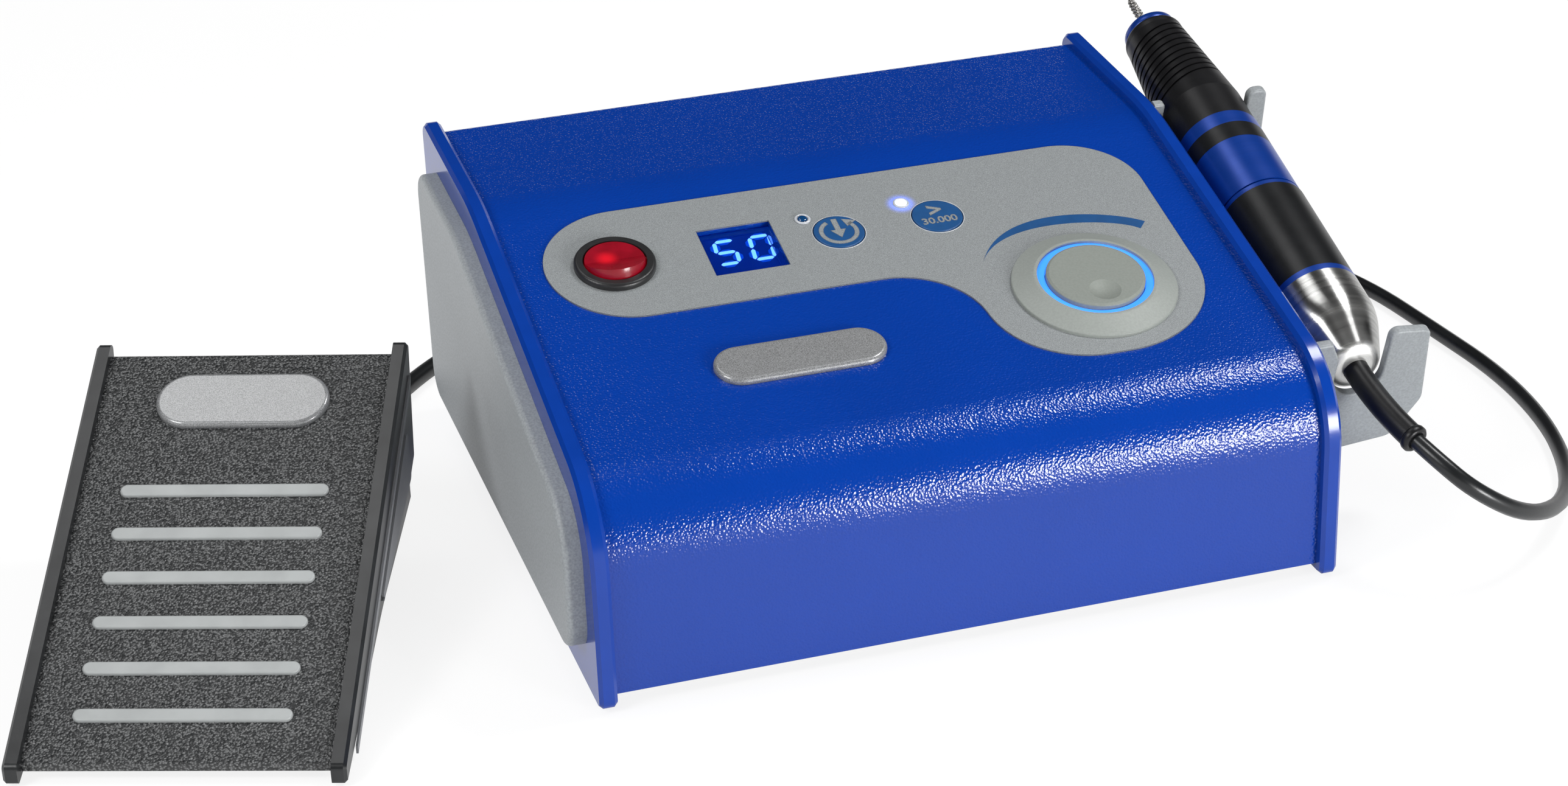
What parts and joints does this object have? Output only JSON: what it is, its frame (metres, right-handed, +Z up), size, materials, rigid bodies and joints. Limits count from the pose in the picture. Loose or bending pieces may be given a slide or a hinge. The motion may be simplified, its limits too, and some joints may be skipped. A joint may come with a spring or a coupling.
{
  "type": "micromotor polisher",
  "caption": "Bench micromotor polisher: blue control unit with speed knob and display, handpiece in a side holder, and a foot pedal on a cable.",
  "frame": {"origin": "middle of the set's box at floor level, measured without the cables and their plugs", "axes": "+X to the right seen from the front, +Y to the back, +Z up; the pedal stands turned 20 degrees to the left of the unit"},
  "size_m": [0.4642, 0.3565, 0.1064],
  "materials": {
    "blue_sheet": "fine pebbled cobalt blue powder coat, satin",
    "blue_cheek": "smooth cobalt blue moulding, satin gloss",
    "grey_plastic": "blue-grey, fine grain",
    "foil": "silver-grey speckled foil",
    "warm_grey": "warm grey, matte",
    "glow_blue": "clear, lit blue from inside",
    "key_blue": "printed blue, satin",
    "window": "clear blue window",
    "display_dark": "dark blue, matte",
    "lamp_off": "white rim, dark clear lens",
    "lamp_on": "clear, lit blue white",
    "black_plastic": "black, fine grain",
    "red_rocker": "clear red, glossy",
    "badge_silver": "bare silver speckle under a clear dome",
    "board_green": "circuit board",
    "steel": "bright steel",
    "zinc_plate": "zinc plated sheet, dull",
    "copper_winding": "taped copper winding",
    "rubber": "black rubber, matte",
    "anodised_blue": "blue anodised, satin",
    "black_sleeve": "black moulded sleeve, satin",
    "pedal_grain": "charcoal leather grain",
    "pedal_black": "black, satin",
    "strip_grey": "light grey soft strip",
    "cable_black": "black cable sheath, satin"
  },
  "bodies": {
    "console": {"top_cover": "blue_sheet", "base_plate": "zinc_plate", "rear_panel": "zinc_plate", "left_cheek": "blue_cheek", "right_cheek": "blue_cheek", "left_side_panel": "grey_plastic", "handpiece_holder": "grey_plastic", "control_foil": "foil", "display_window": "window", "display_module": "display_dark", "direction_lamp": "lamp_off", "limit_lamp": "lamp_on", "rocker_bezel": "black_plastic", "knob_bezel": "warm_grey", "light_ring": "glow_blue", "potentiometer": "steel", "unit_badge": "badge_silver", "main_board": "board_green", "transformer": "copper_winding", "mains_inlet": "black_plastic", "rear_sockets": "steel", "handpiece_plug": "black_plastic", "pedal_plug": "black_plastic", "rubber_feet": "rubber", "pedal_base": "black_plastic", "hinge_pin": "steel", "return_springs": "steel", "pedal_feet": "rubber", "cable_gland": "rubber", "handpiece_cable": "cable_black", "handpiece_coil": "cable_black", "handpiece_lead": "cable_black", "pedal_cable": "cable_black", "pedal_coil": "cable_black", "pedal_lead": "cable_black"},
    "rocker": {"rocker_button": "red_rocker"},
    "knob": {"speed_knob": "warm_grey"},
    "direction_key": {"direction_button": "key_blue"},
    "limit_key": {"limit_button": "key_blue"},
    "treadle": {"pedal_plate": "pedal_grain", "pedal_left_cheek": "pedal_black", "pedal_right_cheek": "pedal_black", "pedal_inlays": "strip_grey", "tread_strips": "strip_grey", "pedal_badge": "badge_silver"},
    "handpiece": {"motor_sleeve": "black_sleeve", "marking_band": "black_sleeve", "front_band": "anodised_blue", "thin_ring": "anodised_blue", "grip_sleeve": "rubber", "nose_collar": "anodised_blue", "tail_cap": "steel", "cable_boot": "rubber", "motor_stator": "copper_winding", "spindle_bearings": "steel"},
    "chuck": {"chuck_ring": "anodised_blue"},
    "spindle": {"spindle_shaft": "steel", "collet": "steel", "bur": "steel"}
  },
  "joints": [
    {"name": "power_rocker", "type": "hinge", "parent": "console", "child": "rocker", "pos_m": [-0.0152, 0.00584, 0.08259], "axis": [1, 0, 0], "range_deg": [0, 18]},
    {"name": "speed_turn", "type": "hinge", "parent": "console", "child": "knob", "pos_m": [0.1117, -0.03394, 0.07186], "axis": [0, -0.2485, 0.9686], "range_deg": [0, 280]},
    {"name": "direction_press", "type": "slide", "parent": "console", "child": "direction_key", "axis": [0, 0.2485, -0.9686], "range_m": [0, 0.00045], "stiffness_N_per_m": 3000},
    {"name": "limit_press", "type": "slide", "parent": "console", "child": "limit_key", "axis": [0, 0.2485, -0.9686], "range_m": [0, 0.00045], "stiffness_N_per_m": 3000},
    {"name": "pedal_press", "type": "hinge", "parent": "console", "child": "treadle", "pos_m": [-0.15375, -0.07327, 0.0063], "axis": [-0.9397, 0.342, 0], "range_deg": [0, 4], "stiffness_Nm_per_rad": 8, "springref_deg": -3.44, "deforming": ["return_springs"]},
    {"name": "handpiece_lift", "type": "slide", "parent": "console", "child": "handpiece", "axis": [0, -0.3223, 0.9466], "range_m": [0, 0.06]},
    {"name": "chuck_twist", "type": "hinge", "parent": "handpiece", "child": "chuck", "pos_m": [0.1779, -0.00886, 0.06725], "axis": [0, 0.9466, 0.3223], "range_deg": [0, 60]},
    {"name": "spindle_turn", "type": "hinge", "parent": "handpiece", "child": "spindle", "pos_m": [0.1779, -0.00886, 0.06725], "axis": [0, 0.9466, 0.3223], "continuous": true}
  ]
}
